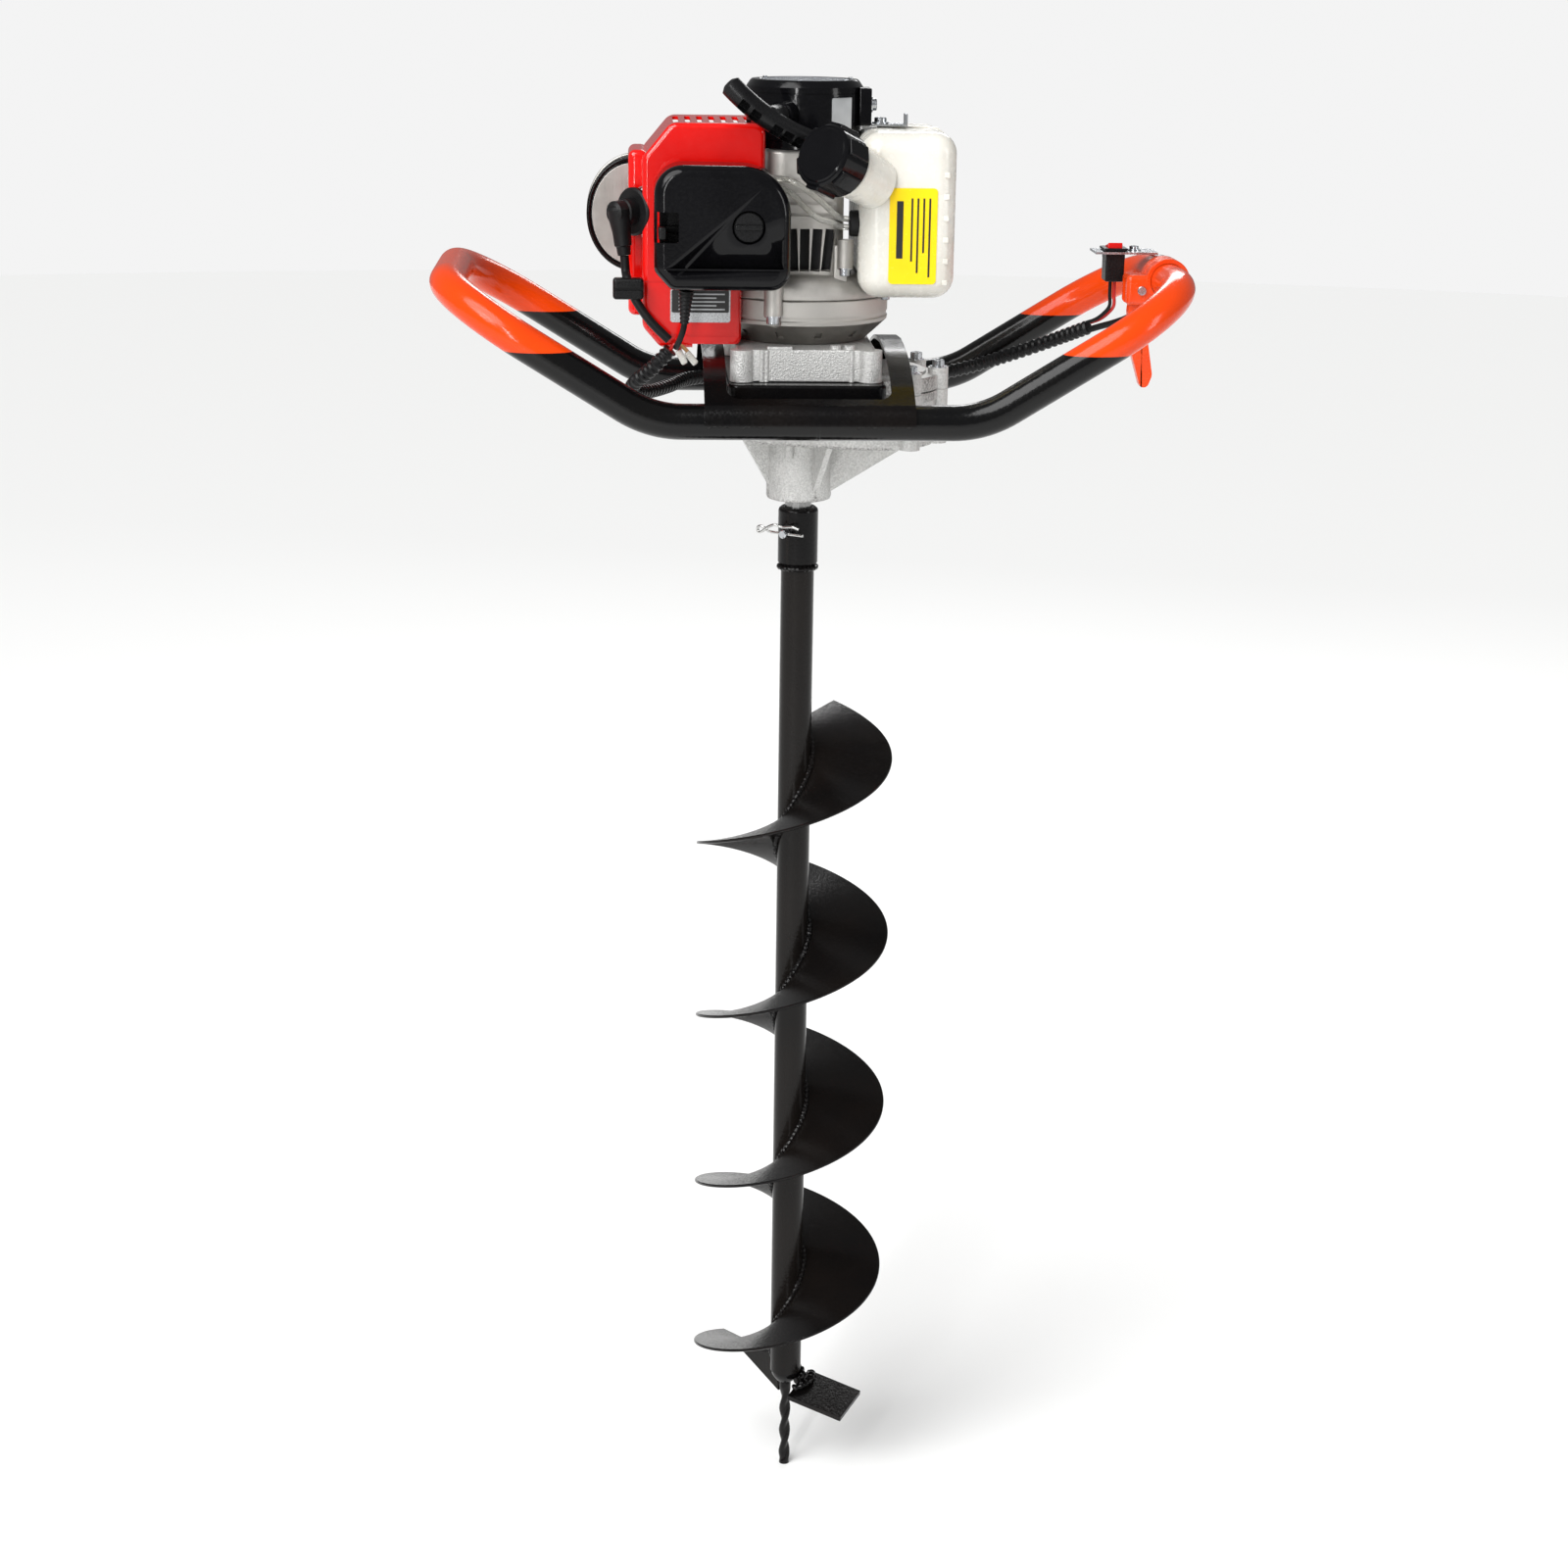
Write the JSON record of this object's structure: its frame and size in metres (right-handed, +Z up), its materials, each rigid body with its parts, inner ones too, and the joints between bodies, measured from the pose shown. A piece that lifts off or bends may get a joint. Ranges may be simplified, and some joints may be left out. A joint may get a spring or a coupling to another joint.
{
  "type": "powered ice auger",
  "caption": "Two-stroke powered ice auger with a loop handle, a two-stage reduction gearbox and a single-start spiral bit on a pinned collar.",
  "frame": {"origin": "centre of the flat end of the bit's pilot point, on the drive axis", "axes": "+Z up the drive axis from the pilot point to the starter, +X towards the throttle grip, -Y towards the air cleaner and the fuel cap"},
  "size_m": [0.5517, 0.2664, 1.1161],
  "materials": {
    "black_paint": "gloss",
    "handle_paint": "gloss",
    "cast_aluminium": "sand-cast satin",
    "steel": "bright",
    "chrome": "polished",
    "red_plastic": "gloss",
    "black_plastic": "gloss",
    "conduit_plastic": "satin",
    "black_rubber": "matte",
    "white_plastic": "satin translucent",
    "clear_hose": "clear gloss",
    "orange_plastic": "gloss",
    "filter_foam": "open-cell foam",
    "ceramic": "glazed",
    "rope": "braided"
  },
  "bodies": {
    "powerhead": {"output_bearing": "steel", "gearbox_housing": "cast_aluminium", "gearbox_cover": "cast_aluminium", "handle_left": "handle_paint", "handle_right": "handle_paint", "saddle_plate": "black_paint", "saddle_seat": "black_paint", "clutch_housing": "cast_aluminium", "crankcase": "cast_aluminium", "cylinder": "cast_aluminium", "starter_housing": "black_plastic", "engine_shroud": "red_plastic", "air_cleaner_base": "black_plastic", "air_filter": "filter_foam", "carburettor": "cast_aluminium", "muffler": "black_paint", "spark_plug": "ceramic", "plug_boot": "black_rubber", "ignition_lead": "black_rubber", "throttle_cable_boot": "black_rubber", "wiring_conduit": "conduit_plastic", "fuel_tank": "white_plastic", "tank_grommet": "black_rubber", "fuel_line_supply": "clear_hose", "fuel_line_return": "clear_hose", "tank_bracket": "steel", "switch_bracket": "steel", "kill_switch_body": "black_plastic", "kill_switch_lead": "black_rubber", "throttle_housing": "orange_plastic"},
    "auger_bit": {"pilot_point": "black_paint", "bit_tube": "black_paint", "flight_1": "black_paint", "flight_2": "black_paint", "flight_3": "black_paint", "flight_4": "black_paint", "cutter_blade": "black_paint", "bit_collar": "black_paint", "clevis_pin": "steel", "output_shaft": "steel", "output_gear": "steel"},
    "hairpin": {"hairpin_clip": "chrome"},
    "idler": {"idler_gear": "steel"},
    "input": {"input_pinion": "steel", "clutch_drum": "steel"},
    "crank": {"crankshaft": "steel", "clutch_rotor": "steel", "flywheel_fan": "cast_aluminium"},
    "piston_body": {"piston": "steel"},
    "pull_grip": {"starter_handle": "black_plastic", "starter_rope": "rope"},
    "reel": {"starter_reel": "black_plastic"},
    "air_cover": {"air_cleaner_cover": "black_plastic"},
    "knob": {"cover_knob": "black_plastic"},
    "choke": {"choke_lever": "black_plastic"},
    "cap_seal": {"cap_gasket": "black_rubber"},
    "cap": {"fuel_cap": "black_plastic"},
    "kill_rocker": {"kill_switch_rocker": "red_plastic"},
    "trigger": {"throttle_trigger": "orange_plastic"}
  },
  "joints": [
    {"name": "auger_spin", "type": "hinge", "parent": "powerhead", "child": "auger_bit", "pos_m": [0, 0, 0.84], "axis": [0, 0, 1], "continuous": true},
    {"name": "clip_pull", "type": "slide", "parent": "auger_bit", "child": "hairpin", "axis": [-0.8192, 0.5736, 0], "range_m": [0, 0.04]},
    {"name": "idler_spin", "type": "hinge", "parent": "powerhead", "child": "idler", "pos_m": [0.05034, -0.01491, 0.872], "axis": [0, 0, 1], "continuous": true},
    {"name": "input_spin", "type": "hinge", "parent": "powerhead", "child": "input", "pos_m": [0, 0, 0.9], "axis": [0, 0, 1], "continuous": true},
    {"name": "crank_spin", "type": "hinge", "parent": "powerhead", "child": "crank", "pos_m": [0, 0, 1.015], "axis": [0, 0, 1], "continuous": true},
    {"name": "piston_slide", "type": "slide", "parent": "powerhead", "child": "piston_body", "axis": [-1, 0, 0], "range_m": [0, 0.028]},
    {"name": "starter_pull", "type": "slide", "parent": "powerhead", "child": "pull_grip", "axis": [-0.3499, -0.9368, 0], "range_m": [0, 0.6], "stiffness_N_per_m": 12, "springref_m": -0.2},
    {"name": "reel_spin", "type": "hinge", "parent": "powerhead", "child": "reel", "pos_m": [0, 0, 1.09], "axis": [0, 0, 1], "range_deg": [0, 1500]},
    {"name": "air_cover_off", "type": "slide", "parent": "powerhead", "child": "air_cover", "axis": [0, -1, 0], "range_m": [0, 0.06]},
    {"name": "knob_turn", "type": "hinge", "parent": "air_cover", "child": "knob", "pos_m": [-0.0435, -0.1085, 1.016], "axis": [0, -1, 0], "range_deg": [0, 1080]},
    {"name": "choke_turn", "type": "hinge", "parent": "powerhead", "child": "choke", "pos_m": [-0.084, -0.062, 1.01], "axis": [-1, 0, 0], "range_deg": [0, 12]},
    {"name": "cap_lift", "type": "slide", "parent": "powerhead", "child": "cap_seal", "axis": [-0.6597, -0.6597, 0.3599], "range_m": [0, 0.0075]},
    {"name": "cap_turn", "type": "hinge", "parent": "cap_seal", "child": "cap", "pos_m": [0.006, -0.106, 1.066], "axis": [-0.6597, -0.6597, 0.3599], "range_deg": [0, 541]},
    {"name": "kill_switch", "type": "hinge", "parent": "powerhead", "child": "kill_rocker", "pos_m": [0.2335, 0.025, 0.9906], "axis": [1, 0, 0], "range_deg": [0, 17]},
    {"name": "throttle", "type": "hinge", "parent": "powerhead", "child": "trigger", "pos_m": [0.2465, -0.005, 0.9635], "axis": [0, -1, 0], "range_deg": [0, 22], "stiffness_Nm_per_rad": 0.15, "springref_deg": -17.19}
  ],
  "couplings": [
    {"joint": "idler_spin", "follows": "auger_spin", "ratio": -5},
    {"joint": "input_spin", "follows": "auger_spin", "ratio": 25},
    {"joint": "reel_spin", "follows": "starter_pull", "rad_per_m": 41.667},
    {"joint": "cap_turn", "follows": "cap_lift", "rad_per_m": 1256.6}
  ]
}
